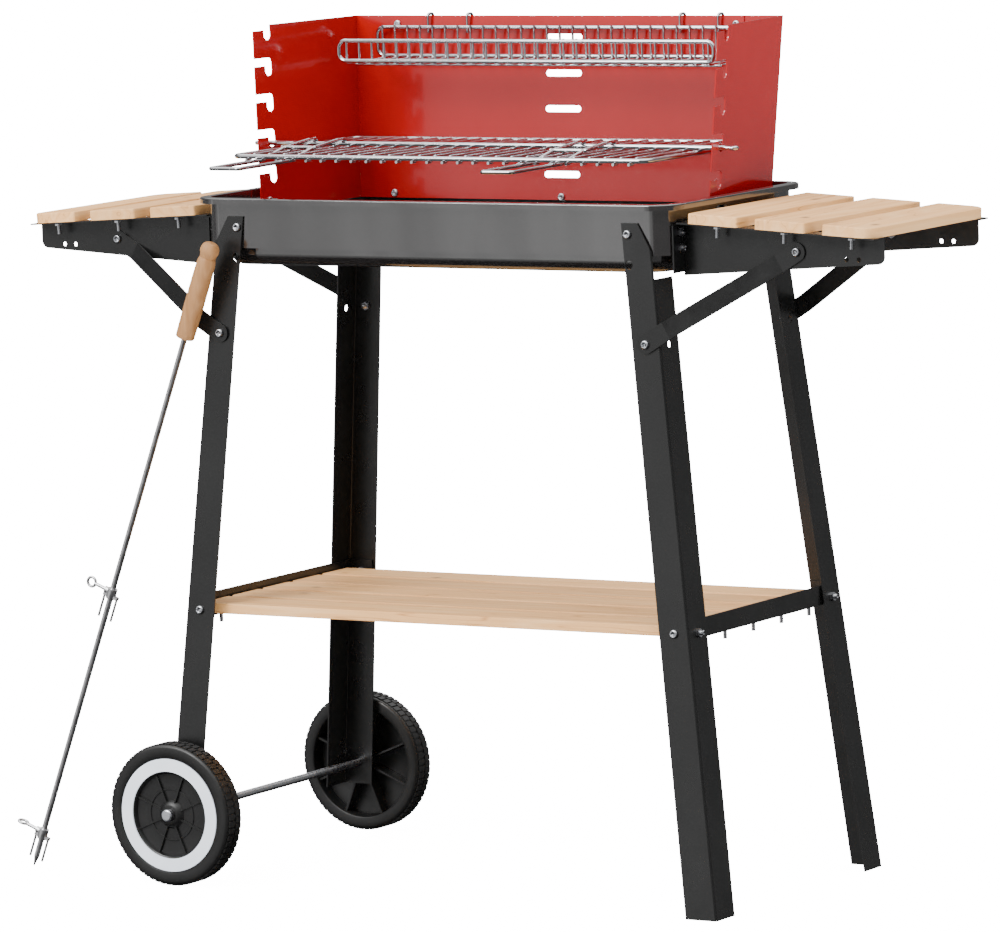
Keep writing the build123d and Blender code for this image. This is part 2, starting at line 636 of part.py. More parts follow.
# ---------------------------------------------------------------- cooking grate
EAR_EDGE, EAR_V = notch_centre(NOTCH_Z[3])
EAR_CENTRE = WING_PLANE.from_local_coords(
    Vector(EAR_EDGE + NOTCH_DEPTH - HOOK_WIDTH / 2, EAR_V - HOOK_DROP + HOOK_WIDTH / 2, -0.6)
)
EAR_Y = EAR_CENTRE.Y
EAR_Z = EAR_CENTRE.Z - 1.25
EAR_HALF = 2.75
GRATE_FRONT, GRATE_REAR, GRATE_HALF = -114.5, 115.0, 250.0
FRAME_Z = EAR_Z - 4.8
WEB_Z = EAR_Z - 3.4
WEB_PITCH, WEB_COUNT = 18.5, 26


def cooking_grate():
    body = closed_wire(loop_xy(GRATE_HALF, GRATE_FRONT, GRATE_REAR, FRAME_Z), 2.5, 10.0)
    for side in (-1, 1):
        ear = [
            (side * 0.3, EAR_Y + EAR_HALF, EAR_Z),
            (side * 291.5, EAR_Y + EAR_HALF, EAR_Z),
            (side * 291.5, EAR_Y - EAR_HALF, EAR_Z),
            (side * 238.0, EAR_Y - EAR_HALF, EAR_Z),
        ]
        body += wire_rod(ear, 2.3, 2.6)
    body += Pos(0, EAR_Y + EAR_HALF, EAR_Z) * Rot(0, 90, 0) * Cylinder(2.3, 2.0)
    under = FRAME_Z - 3.6
    for k in range(WEB_COUNT):
        x = WEB_PITCH * (k - (WEB_COUNT - 1) / 2)
        line = [
            (x, GRATE_FRONT - 4.2, under),
            (x, GRATE_FRONT + 3.0, under),
            (x, GRATE_FRONT + 12.0, WEB_Z),
            (x, GRATE_REAR - 12.0, WEB_Z),
            (x, GRATE_REAR - 3.0, under),
            (x, GRATE_REAR + 4.2, under),
        ]
        body += wire_rod(line, 1.5, 2.0)
    return body


HANDLE_R = 2.0


def grate_handle(x0, x1):
    """Bent wire handle hooked over the middle wire and passed under the front wire."""
    top = EAR_Z + 2.3 + HANDLE_R + 0.15
    under = FRAME_Z - 2.5 - HANDLE_R - 0.2
    hook_y = EAR_Y + 0.5
    tip = -199.0

    def half(x):
        return [
            (x, hook_y + 9.5, EAR_Z - 3.0),
            (x, hook_y + 6.5, top),
            (x, hook_y - 8.0, top),
            (x, -60.0, WEB_Z + 1.5 + HANDLE_R + 0.3),
            (x, -104.0, under),
            (x, -125.0, under),
            (x, tip, 752.5),
        ]

    path = half(x0) + list(reversed(half(x1)))
    body = wire_rod(path, HANDLE_R, 3.0)
    cross_z = WEB_Z + 1.5 + HANDLE_R + 0.3
    body += wire_rod([(x0 - 3.5, -60.0, cross_z), (x1 + 3.5, -60.0, cross_z)], 1.9)
    return body


# ---------------------------------------------------------------- warming basket
BASKET_HALF = 229.0
BASKET_FRONT_Y, BASKET_REAR_Y = 60.0, 136.0
BASKET_LOW, BASKET_FRONT_TOP, BASKET_REAR_TOP = 844.0, 865.0, 874.0
RIB_PITCH, RIB_COUNT = 15.8, 29
HOOK_X = (-167.0, -118.0, 143.0, 189.0)


def loop_xz(half_x, y, z0, z1):
    return [(0, y, z0), (half_x, y, z0), (half_x, y, z1), (-half_x, y, z1), (-half_x, y, z0)]


def warming_basket():
    body = closed_wire(loop_xz(BASKET_HALF, BASKET_FRONT_Y, BASKET_LOW, BASKET_FRONT_TOP), 2.2, 8.0)
    body += closed_wire(loop_xz(BASKET_HALF, BASKET_REAR_Y, BASKET_LOW, BASKET_REAR_TOP), 2.2, 8.0)
    floor_z = BASKET_LOW - 2.9
    for k in range(RIB_COUNT):
        x = RIB_PITCH * (k - (RIB_COUNT - 1) / 2)
        line = [
            (x, BASKET_FRONT_Y + 2.9, BASKET_FRONT_TOP + 2.5),
            (x, BASKET_FRONT_Y + 2.9, floor_z),
            (x, BASKET_REAR_Y - 2.9, floor_z),
            (x, BASKET_REAR_Y - 2.9, BASKET_REAR_TOP + 2.5),
        ]
        body += wire_rod(line, 1.25, 4.0)
    for y in (85.0, 111.0):
        z = floor_z - 2.4
        body += wire_rod([(-RIB_PITCH * 14 - 3, y, z), (RIB_PITCH * 14 + 3, y, z)], 1.5)
    over = SHIELD_Z1 + 1.9
    for x in HOOK_X:
        rear = shield_y(SHIELD_Z1) + 3.0
        line = [
            (x, BASKET_REAR_Y + 3.2, BASKET_REAR_TOP - 6.0),
            (x, BASKET_REAR_Y + 3.2, over),
            (x, rear, over),
            (x, rear, over - 18.0),
        ]
        body += wire_rod(line, 1.5, 3.0)
    return body


parts["charcoal_grate"] = charcoal_grate()
parts["cooking_grate"] = cooking_grate()
parts["grate_handle_left"] = grate_handle(-222.0, -186.0)
parts["grate_handle_right"] = grate_handle(107.0, 143.0)
parts["warming_basket"] = warming_basket()


# ---------------------------------------------------------------- spit
SPIT_DIR = (SPIT_HANDLE_LOW - SPIT_TIP).normalized()
SPIT_SIDE = Vector(-SPIT_DIR.Z, 0, SPIT_DIR.X)
ROD_UP = (SPIT_HANDLE_LOW - SPIT_TIP).length
HANDLE_LENGTH = 107.0


def spit_point(z):
    return SPIT_TIP + SPIT_DIR * ((z - SPIT_TIP.Z) / SPIT_DIR.Z)


def spit_rod():
    rod = Pos(0, 0, 12) * Cylinder(SPIT_R, ROD_UP + 50 - 12, align=(Align.CENTER, Align.CENTER, Align.MIN))
    point = Cone(0.6, SPIT_R, 12, align=(Align.CENTER, Align.CENTER, Align.MIN))
    return at(SPIT_TIP, SPIT_DIR, rod + point)


def spit_handle():
    r = 10.5
    with BuildSketch(Plane.XZ) as half:
        with BuildLine():
            Polyline((0, 0), (7.5, 0))
            Spline((7.5, 0), (r - 1, 6), (r, 40), (9.2, 78), (7.0, 90), tangents=((1, 0.6), (-0.2, 1)))
            Spline((7.0, 90), (9.4, 96), (8.6, 103), (4.0, HANDLE_LENGTH), tangents=((0.4, 1), (-1, 0.1)))
            Polyline((4.0, HANDLE_LENGTH), (0, HANDLE_LENGTH), (0, 0))
        make_face()
    body = revolve(half.sketch, axis=Axis.Z)
    body -= Cylinder(SPIT_R + 0.01, 2 * 50.5)
    return at(SPIT_HANDLE_LOW, SPIT_DIR, body)


FORK_SCREW_R = 1.9


def spit_fork(z, tine):
    """Collar with two tines pointing down the rod, bored for its thumbscrew."""
    base = Plane(origin=spit_point(z), x_dir=SPIT_SIDE, z_dir=SPIT_DIR)
    body = Cylinder(5.2, 11.0)
    body += Pos(0, 0, -3.0) * Box(18.0, 5.0, 3.0)
    for side in (-1, 1):
        body += Pos(side * 8.0, 0, -3.0) * Cylinder(1.3, tine, align=(Align.CENTER, Align.CENTER, Align.MAX))
    body += Pos(6.5, 0, 1.5) * Rot(0, 90, 0) * Cylinder(3.4, 5.0)
    body -= Cylinder(SPIT_R + FIT, 40.0)
    body -= Pos(9.0, 0, 1.5) * Rot(0, 90, 0) * Cylinder(FORK_SCREW_R + FIT, 18.0)
    return base.location * body


def thumbscrew(z, reach, turn):
    """Eye screw square to the rod, its eye turned about the shank."""
    base = Plane(origin=spit_point(z), x_dir=SPIT_SIDE, z_dir=SPIT_DIR)
    shank = Pos(SPIT_R + 0.2, 0, 1.5) * Rot(0, 90, 0)
    body = shank * Cylinder(FORK_SCREW_R, reach, align=(Align.CENTER, Align.CENTER, Align.MIN))
    body += Pos(SPIT_R + reach + 4.4, 0, 1.5) * Rot(turn, 0, 0) * Torus(5.0, 1.5)
    return base.location * body


parts["spit_rod"] = spit_rod()
parts["spit_handle"] = spit_handle()
parts["spit_fork_upper"] = spit_fork(299.6, 26.0)
parts["spit_fork_lower"] = spit_fork(38.0, 26.0)
parts["thumbscrew_upper"] = thumbscrew(299.6, 20.0, 90.0)
parts["thumbscrew_lower"] = thumbscrew(38.0, 20.0, 0.0)


# ---------------------------------------------------------------- common origin
everything = Compound(children=[group([shape]) for shape in parts.values()])
box = everything.bounding_box()
shift = Vector(-(box.min.X + box.max.X) / 2, -(box.min.Y + box.max.Y) / 2, 0)
print("shift", round(shift.X, 4), round(shift.Y, 4), "size", box.size)
for name, shape in parts.items():
    solids = [solid.moved(Location(shift)) for solid in shape.solids()]
    whole = solids[0] if len(solids) == 1 else Compound(children=solids)
    export_step(whole, f"parts/{name}.step")
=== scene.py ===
"""Looks of the trolley charcoal grill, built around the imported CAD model. Metres."""

import json
import math
import random

import bmesh
import bpy
import numpy as np
from mathutils import Matrix, Vector


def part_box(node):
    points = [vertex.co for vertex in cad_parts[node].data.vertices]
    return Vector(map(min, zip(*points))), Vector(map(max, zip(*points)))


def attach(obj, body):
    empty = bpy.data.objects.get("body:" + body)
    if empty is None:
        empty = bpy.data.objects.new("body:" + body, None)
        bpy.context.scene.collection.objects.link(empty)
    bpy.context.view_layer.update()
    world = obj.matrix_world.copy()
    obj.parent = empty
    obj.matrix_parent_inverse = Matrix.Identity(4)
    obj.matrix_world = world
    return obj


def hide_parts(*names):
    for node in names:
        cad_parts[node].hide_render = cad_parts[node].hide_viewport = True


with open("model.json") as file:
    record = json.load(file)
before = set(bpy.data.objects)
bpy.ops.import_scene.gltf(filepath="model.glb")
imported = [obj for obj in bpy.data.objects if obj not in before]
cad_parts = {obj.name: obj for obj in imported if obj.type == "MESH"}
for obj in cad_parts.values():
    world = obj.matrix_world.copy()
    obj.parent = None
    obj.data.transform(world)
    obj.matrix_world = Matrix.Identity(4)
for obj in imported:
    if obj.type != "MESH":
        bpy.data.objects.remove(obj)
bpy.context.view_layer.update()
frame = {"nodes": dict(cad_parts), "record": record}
NODES = frame["nodes"]
SCENE = bpy.context.scene

# ------------------------------------------------------------------ camera
CAMERA_AZIMUTH, CAMERA_ELEVATION, CAMERA_ROLL = (math.radians(a) for a in (32.34347, 6.79691, -2.10347))
CAMERA_TARGET, CAMERA_DISTANCE = Vector((0.001455, 0.0, 0.428113)), 7.72076
CAMERA_LENS, CAMERA_SENSOR = 267.861, 36.0


def make_camera():
    """Camera at the photograph's viewing angle."""
    az, el, roll = CAMERA_AZIMUTH, CAMERA_ELEVATION, CAMERA_ROLL
    back = Vector((math.sin(az) * math.cos(el), -math.cos(az) * math.cos(el), math.sin(el)))
    right = (-back).cross(Vector((0, 0, 1))).normalized()
    up = right.cross(-back)
    tilted_right = right * math.cos(roll) + up * math.sin(roll)
    tilted_up = up * math.cos(roll) - right * math.sin(roll)
    data = bpy.data.cameras.new("camera")
    data.lens = CAMERA_LENS
    data.sensor_width = CAMERA_SENSOR
    data.sensor_fit = "HORIZONTAL"
    data.clip_start, data.clip_end = 0.1, 100.0
    camera = bpy.data.objects.new("camera", data)
    at = CAMERA_TARGET + back * CAMERA_DISTANCE
    camera.matrix_world = Matrix((
        (tilted_right.x, tilted_up.x, back.x, at.x),
        (tilted_right.y, tilted_up.y, back.y, at.y),
        (tilted_right.z, tilted_up.z, back.z, at.z),
        (0, 0, 0, 1),
    ))
    SCENE.collection.objects.link(camera)
    SCENE.camera = camera


make_camera()


# ------------------------------------------------------------------ floor and light
def area_light(name, at, look, size, power):
    """Soft rectangular light that looks at a point."""
    data = bpy.data.lights.new(name, "AREA")
    data.shape = "RECTANGLE"
    data.size, data.size_y = size
    data.energy = power
    light = bpy.data.objects.new(name, data)
    light.location = at
    light.rotation_mode = "QUATERNION"
    light.rotation_quaternion = (Vector(look) - Vector(at)).to_track_quat("-Z", "Y")
    SCENE.collection.objects.link(light)
    return light


SURROUND_SEEN, FLOOR_GLOW = 16.0, 15.0
FLOOR_HALF, FLOOR_WHITE = 30.0, (0.9, 0.9, 0.9, 1)
AMBIENT, SKY, PANEL = 0.26, 3.0, 1.0
PANEL_WAY = (-0.53, -0.845, -0.07)


def surround(m):
    """Light of the surround by direction: soft sky, streaked front panel, dark below."""
    look = m.tree.nodes.new("ShaderNodeTexCoord").outputs["Generated"]
    up = m.node("ShaderNodeSeparateXYZ", Vector=look).outputs["Z"]
    facing = m.tree.nodes.new("ShaderNodeVectorMath")
    facing.operation = "DOT_PRODUCT"
    m.feed(facing.inputs[0], look)
    facing.inputs[1].default_value = PANEL_WAY
    panel = m.span(facing.outputs["Value"], 0.0, PANEL, 0.88, 0.985)
    streaks = m.noise(m.node("ShaderNodeMapping", Vector=look, Scale=(9, 9, 0.6)).outputs["Vector"], 1.0, 2.0)
    panel = m.math("MULTIPLY", panel, m.span(streaks, 0.45, 1.4, 0.35, 0.65))
    level = m.math("MULTIPLY", m.math("ADD", panel, AMBIENT), m.span(up, 0.12, 1.0, -0.38, -0.16))
    return m.math("ADD", level, m.span(up, 0.0, SKY, 0.45, 0.9))


def make_stage():
    """White surround, pale floor and soft lights."""
    world = bpy.data.worlds.new("world")
    world.use_nodes = True
    m = Maker(world.node_tree)
    background = world.node_tree.nodes["Background"]
    background.inputs["Color"].default_value = (1, 1, 1, 1)
    seen = world.node_tree.nodes.new("ShaderNodeLightPath").outputs["Is Camera Ray"]
    unseen = m.math("MULTIPLY", surround(m), m.span(seen, 1.0, 0.0))
    m.feed(background.inputs["Strength"], m.math("ADD", unseen, m.math("MULTIPLY", seen, SURROUND_SEEN)))
    SCENE.world = world
    mesh = bpy.data.meshes.new("floor")
    r = FLOOR_HALF
    mesh.from_pydata([(-r, -r, 0), (r, -r, 0), (r, r, 0), (-r, r, 0)], [], [(0, 1, 2, 3)])
    floor = bpy.data.objects.new("floor", mesh)
    SCENE.collection.objects.link(floor)
    mat, bsdf, tree = new_material("floor_white")
    bsdf.inputs["Base Color"].default_value = FLOOR_WHITE
    bsdf.inputs["Roughness"].default_value = 0.9
    bsdf.inputs["Specular IOR Level"].default_value = 0.1
    bsdf.inputs["Emission Color"].default_value = (1, 1, 1, 1)
    seen = tree.nodes.new("ShaderNodeLightPath").outputs["Is Camera Ray"]
    m = Maker(tree)
    m.feed(bsdf.inputs["Emission Strength"], m.span(seen, 0.0, FLOOR_GLOW))
    mesh.materials.append(mat)
    floor.visible_glossy = False
    area_light("key", (-1.6, -3.6, 3.4), (0, 0, 0.6), (2.0, 2.0), 250.0)
    fill = area_light("right_fill", (3.6, -2.4, 1.8), (0, 0, 0.5), (1.6, 2.4), 70.0)
    fill.visible_glossy = False


# ------------------------------------------------------------------ materials
def new_material(name):
    """Material with one Principled shader: the material, the shader node and the tree."""
    mat = bpy.data.materials.new(name)
    mat.use_nodes = True
    tree = mat.node_tree
    return mat, tree.nodes["Principled BSDF"], tree


class Maker:
    """Short ways to add nodes to one tree."""

    def __init__(self, tree):
        self.tree = tree

    def node(self, kind, **inputs):
        made = self.tree.nodes.new(kind)
        for key, value in inputs.items():
            self.feed(made.inputs[key.replace("_", " ")], value)
        return made

    def feed(self, socket, value):
        if isinstance(value, bpy.types.NodeSocket):
            self.tree.links.new(value, socket)
        else:
            socket.default_value = value

    def place(self, scale=(1, 1, 1), move=(0, 0, 0), turn=(0, 0, 0)):
        """The point on the object, in metres, stretched and moved."""
        coordinate = self.tree.nodes.new("ShaderNodeTexCoord")
        return self.node(
            "ShaderNodeMapping",
            Vector=coordinate.outputs["Object"],
            Scale=scale,
            Location=move,
            Rotation=turn,
        ).outputs["Vector"]

    def noise(self, vector, scale, detail=2.0, rough=0.5, distort=0.0):
        return self.node(
            "ShaderNodeTexNoise",
            Vector=vector,
            Scale=scale,
            Detail=detail,
            Roughness=rough,
            Distortion=distort,
        ).outputs["Fac"]

    def ramp(self, fac, stops):
        """Colour ramp from (position, colour) pairs."""
        made = self.node("ShaderNodeValToRGB", Fac=fac)
        ends = made.color_ramp.elements
        while len(ends) < len(stops):
            ends.new(0.5)
        for element, (position, color) in zip(ends, stops):
            element.position = position
            element.color = (*color, 1)
        return made.outputs["Color"]

    def span(self, fac, low, high, start=0.0, end=1.0):
        """Value from low to high as fac goes from start to end."""
        made = self.tree.nodes.new("ShaderNodeMapRange")
        self.feed(made.inputs["Value"], fac)
        made.inputs["From Min"].default_value = start
        made.inputs["From Max"].default_value = end
        made.inputs["To Min"].default_value = low
        made.inputs["To Max"].default_value = high
        return made.outputs["Result"]

    def mix(self, fac, a, b):
        made = self.tree.nodes.new("ShaderNodeMix")
        made.data_type = "RGBA"
        self.feed(made.inputs[0], fac)
        self.feed(made.inputs[6], a if isinstance(a, bpy.types.NodeSocket) else (*a, 1))
        self.feed(made.inputs[7], b if isinstance(b, bpy.types.NodeSocket) else (*b, 1))
        return made.outputs[2]

    def math(self, operation, a, b=0.0):
        made = self.tree.nodes.new("ShaderNodeMath")
        made.operation = operation
        self.feed(made.inputs[0], a)
        self.feed(made.inputs[1], b)
        return made.outputs[0]

    def bump(self, height, strength, distance):
        relief = self.node("ShaderNodeBump", Height=height, Strength=strength, Distance=distance)
        return relief.outputs["Normal"]


def enamel(name, dark, light, rough, coat, wave, peel=0.12, ior=1.5):
    """Glossy stove enamel: slow colour drift, smears of dust, faint orange peel and a slow swell."""
    mat, bsdf, tree = new_material(name)
    m = Maker(tree)
    at = m.place()
    slow = m.noise(at, 6.0, 3.0)
    m.feed(bsdf.inputs["Base Color"], m.ramp(slow, [(0.3, dark), (0.7, light)]))
    smear = m.noise(m.place(scale=(1, 1, 0.35)), 14.0, 5.0, 0.65)
    m.feed(bsdf.inputs["Roughness"], m.span(smear, rough[0], rough[1], 0.3, 0.75))
    swell = m.math("MULTIPLY", m.noise(m.place(scale=(1, 1, 0.15)), 13.0, 1.0), wave)
    height = m.math("ADD", m.noise(at, 260.0, 2.0), swell)
    m.feed(bsdf.inputs["Normal"], m.bump(height, peel, 0.0004))
    bsdf.inputs["IOR"].default_value = ior
    bsdf.inputs["Coat Weight"].default_value = coat
    bsdf.inputs["Coat IOR"].default_value = ior
    bsdf.inputs["Coat Roughness"].default_value = 0.06
    return mat


def powder_coat(name, dark, light, rough):
    """Satin black paint on sheet steel with a fine grain."""
    mat, bsdf, tree = new_material(name)
    m = Maker(tree)
    at = m.place()
    m.feed(bsdf.inputs["Base Color"], m.ramp(m.noise(at, 9.0, 4.0), [(0.3, dark), (0.75, light)]))
    m.feed(bsdf.inputs["Roughness"], m.span(m.noise(at, 30.0, 4.0, 0.6), rough[0], rough[1], 0.3, 0.7))
    grain = m.math("ADD", m.noise(at, 1500.0, 2.0), m.math("MULTIPLY", m.noise(at, 220.0, 2.0), 1.5))
    m.feed(bsdf.inputs["Normal"], m.bump(grain, 0.08, 0.0003))
    return mat


def metal(name, dark, light, rough, scale=40.0, bump=0.05):
    """Bare or plated steel."""
    mat, bsdf, tree = new_material(name)
    m = Maker(tree)
    at = m.place()
    bsdf.inputs["Metallic"].default_value = 1.0
    m.feed(bsdf.inputs["Base Color"], m.ramp(m.noise(at, scale, 4.0, 0.6), [(0.3, dark), (0.7, light)]))
    m.feed(bsdf.inputs["Roughness"], m.span(m.noise(at, scale * 3, 3.0), rough[0], rough[1], 0.3, 0.7))
    m.feed(bsdf.inputs["Normal"], m.bump(m.noise(at, 700.0, 2.0), bump, 0.0003))
    return mat


def plastic(name, dark, light, rough, bump=0.1):
    """Moulded plastic with a fine matt grain."""
    mat, bsdf, tree = new_material(name)
    m = Maker(tree)
    at = m.place()
    m.feed(bsdf.inputs["Base Color"], m.ramp(m.noise(at, 25.0, 4.0), [(0.3, dark), (0.7, light)]))
    m.feed(bsdf.inputs["Roughness"], m.span(m.noise(at, 60.0, 3.0), rough[0], rough[1], 0.3, 0.7))
    m.feed(bsdf.inputs["Normal"], m.bump(m.noise(at, 1800.0, 2.0), bump, 0.0002))
    return mat


KNOT_TONE, KNOT_CORE, KNOT_EDGE = (0.30, 0.15, 0.06), 0.0015, 0.0055
KNOT_MARGIN, KNOT_DEPTH = 0.01, 0.002
BOARD_SEED, KNOT_SEED = 100, 500
PINE_TONES = (0.93, 0.55, 0.24), (0.87, 0.46, 0.17), (0.60, 0.27, 0.08)
HANDLE_TONES = (0.40, 0.20, 0.075), (0.34, 0.155, 0.05), (0.20, 0.08, 0.02)


def pine(name, along, seed, knots=(), turn=(0, 0, 0), tones=PINE_TONES):
    """Planed pine: grain along an axis, drifting tone, pores and a few small knots at given points."""
    draw = random.Random(seed)
    shade = draw.uniform(0.80, 1.0)
    pale, mid, late = ([c * shade for c in tone] for tone in tones)
    mat, bsdf, tree = new_material(name)
    m = Maker(tree)
    move = [draw.uniform(-3, 3) for _ in range(3)]
    stretch = [1.0, 1.0, 1.0]
    stretch[along] = 0.06
    at = m.place(scale=stretch, move=move, turn=turn)
    bend = m.noise(m.place(scale=[s * 3 for s in stretch], move=move), 4.0, 3.0)
    swirl = m.math("MULTIPLY", m.noise(at, 34.0, 2.0, 0.5, 0.6), 5.0)
    rings = m.math("ADD", swirl, m.math("MULTIPLY", bend, 3.0))
    band = m.math("PINGPONG", rings, 0.5)
    early = m.ramp(band, [(0.0, pale), (0.3, mid), (0.46, mid), (0.5, late)])
    streak_scale = [420.0, 420.0, 420.0]
    streak_scale[along] = 9.0
    streak = m.noise(m.place(scale=streak_scale, move=move), 1.0, 3.0, 0.6)
    tone = m.mix(m.span(streak, 0.0, 0.35, 0.35, 0.8), early, late)
    patch = m.noise(m.place(scale=[s * 6 for s in stretch], move=move), 3.0, 2.0)
    tone = m.mix(m.span(patch, 0.0, 0.35, 0.4, 0.75), tone, pale)
    for point in knots:
        away = m.tree.nodes.new("ShaderNodeVectorMath")
        away.operation = "DISTANCE"
        squeeze = [1.0, 1.0, 1.0]
        squeeze[along] = 0.6
        m.feed(away.inputs[0], m.place(scale=squeeze))
        away.inputs[1].default_value = [p * s for p, s in zip(point, squeeze)]
        inside = m.span(away.outputs["Value"], 1.0, 0.0, KNOT_CORE, KNOT_EDGE)
        tone = m.mix(inside, tone, KNOT_TONE)
    m.feed(bsdf.inputs["Base Color"], tone)
    m.feed(bsdf.inputs["Roughness"], m.span(streak, 0.5, 0.68))
    relief = m.math("ADD", streak, m.math("MULTIPLY", band, 0.8))
    m.feed(bsdf.inputs["Normal"], m.bump(relief, 0.12, 0.0004))
    return mat


RED = enamel("red_enamel", (0.36, 0.0005, 0.001), (0.43, 0.001, 0.002), (0.14, 0.28), 0.55, 14.0)
PAN_BLACK = enamel(
    "black_enamel", (0.006, 0.005, 0.005), (0.010, 0.009, 0.009), (0.08, 0.20), 1.0, 45.0, ior=1.7
)
PAINT = powder_coat("black_paint", (0.004, 0.004, 0.004), (0.008, 0.008, 0.008), (0.24, 0.38))
ZINC = metal("zinc", (0.52, 0.54, 0.57), (0.70, 0.71, 0.74), (0.22, 0.40), 90.0)
CHROME = metal("chrome_wire", (0.50, 0.50, 0.52), (0.66, 0.66, 0.68), (0.05, 0.13), 30.0, 0.03)
GRATE_STEEL = metal("grate_steel", (0.10, 0.10, 0.10), (0.22, 0.21, 0.20), (0.35, 0.55), 40.0, 0.1)
WHEEL_BLACK = plastic("wheel_plastic", (0.004, 0.004, 0.004), (0.008, 0.008, 0.008), (0.34, 0.48))
WHEEL_WHITE = plastic("ring_plastic", (0.74, 0.79, 0.87), (0.82, 0.87, 0.94), (0.28, 0.42), 0.04)
SPIT_STEEL = metal("spit_steel", (0.62, 0.62, 0.63), (0.76, 0.76, 0.77), (0.34, 0.48), 60.0, 0.02)

BY_SLOT = {
    "red_enamel": RED,
    "black_enamel": PAN_BLACK,
    "black_paint": PAINT,
    "zinc": ZINC,
    "chrome": CHROME,
    "wheel_plastic": WHEEL_BLACK,
    "white_plastic": WHEEL_WHITE,
    "spit_steel": SPIT_STEEL,
}


def paint(obj, mat):
    """One material over a whole object."""
    obj.data.materials.clear()
    obj.data.materials.append(mat)


def knots_in(node, seed, count):
    """Points on the top of a board for its knots."""
    draw = random.Random(seed)
    low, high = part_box(node)
    return [
        (
            draw.uniform(low.x + KNOT_MARGIN, high.x - KNOT_MARGIN),
            draw.uniform(low.y + KNOT_MARGIN, high.y - KNOT_MARGIN),
            high.z - KNOT_DEPTH,
        )
        for _ in range(count)
    ]


# ------------------------------------------------------------------ mesh tools
def lathe(bm, profile, steps):
    """Closed profile of points (radius, height) turned about local Z."""
    rings = []
    for k in range(steps):
        a = 2 * math.pi * k / steps
        rings.append([bm.verts.new((r * math.cos(a), r * math.sin(a), h)) for r, h in profile])
    for k in range(steps):
        a, b = rings[k], rings[(k + 1) % steps]
        for i in range(len(profile)):
            j = (i + 1) % len(profile)
            bm.faces.new((a[i], b[i], b[j], a[j]))


def slab(bm, low, high, turn=0.0):
    """Box between two corners, turned about local Z."""
    made = bmesh.ops.create_cube(bm, size=1.0)["verts"]
    middle = (Vector(low) + Vector(high)) / 2
    size = Vector(high) - Vector(low)
    matrix = Matrix.Rotation(turn, 4, "Z") @ Matrix.Translation(middle) @ Matrix.Diagonal((*size, 1))
    bmesh.ops.transform(bm, matrix=matrix, verts=made)


def finish_piece(bm, name, mat, body, nodes, matrix=Matrix.Identity(4), smooth=35.0):
    """Mesh object from bm, placed, painted, riding on its body and standing for its CAD nodes."""
    bmesh.ops.recalc_face_normals(bm, faces=bm.faces)
    mesh = bpy.data.meshes.new(name)
    bm.to_mesh(mesh)
    bm.free()
    mesh.transform(matrix)
    obj = bpy.data.objects.new(name, mesh)
    SCENE.collection.objects.link(obj)
    mesh.materials.append(mat)
    mesh.shade_smooth()
    mesh.set_sharp_from_angle(angle=math.radians(smooth))
    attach(obj, body)
    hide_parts(*nodes)


# ------------------------------------------------------------------ wheels
WHEEL_R, WHEEL_W, WHEEL_STEPS = 0.075, 0.027, 192
BORE = 0.00405
TREAD_LOW_R, SHOULDER = WHEEL_R - 0.0013, 0.0026
TREAD_BLOCKS, BLOCK_STEPS = 64, 4
TREAD_STEPS = TREAD_BLOCKS * BLOCK_STEPS
TREAD_ROWS = ((0.0032, 0.0128, 0), (0.0142, 0.0238, 2))
RIB_COUNT, RIB_START, WELD = 8, 22.5, 2e-6
RIM_FACE, DISC_FACE, HUB_FACE, BACK_FACE = (WHEEL_W - d for d in (0.0015, 0.0062, 0.0012, 0.0085))


def tread_radius(step, strip):
    """Radius at one step round the tyre. Odd strips across it are rows of blocks, even ones grooves."""
    if strip % 2 == 0:
        return TREAD_LOW_R
    shift = TREAD_ROWS[strip // 2][2]
    return TREAD_LOW_R if (step + shift) % BLOCK_STEPS == 0 else WHEEL_R


def tread_face(bm, corners):
    """Face with its corners given as (step round the tyre, radius, height)."""
    verts = []
    for step, r, h in corners:
        a = 2 * math.pi * step / TREAD_STEPS
        verts.append(bm.verts.new((r * math.cos(a), r * math.sin(a), h)))
    bm.faces.new(verts)


def tread(bm):
    """Two staggered rows of blocks round the tyre, as a band between its two shoulders."""
    cuts = [SHOULDER] + [edge for row in TREAD_ROWS for edge in row[:2]] + [WHEEL_W - SHOULDER]
    low = TREAD_LOW_R
    for strip, (h0, h1) in enumerate(zip(cuts, cuts[1:])):
        for step in range(TREAD_STEPS):
            r = tread_radius(step, strip)
            tread_face(bm, ((step, r, h0), (step + 1, r, h0), (step + 1, r, h1), (step, r, h1)))
            ahead = tread_radius((step + 1) % TREAD_STEPS, strip)
            if ahead != r:
                end = step + 1
                tread_face(bm, ((end, r, h0), (end, ahead, h0), (end, ahead, h1), (end, r, h1)))
            if r != low:
                for h in (h0, h1):
                    tread_face(bm, ((step, low, h), (step + 1, low, h), (step + 1, r, h), (step, r, h)))


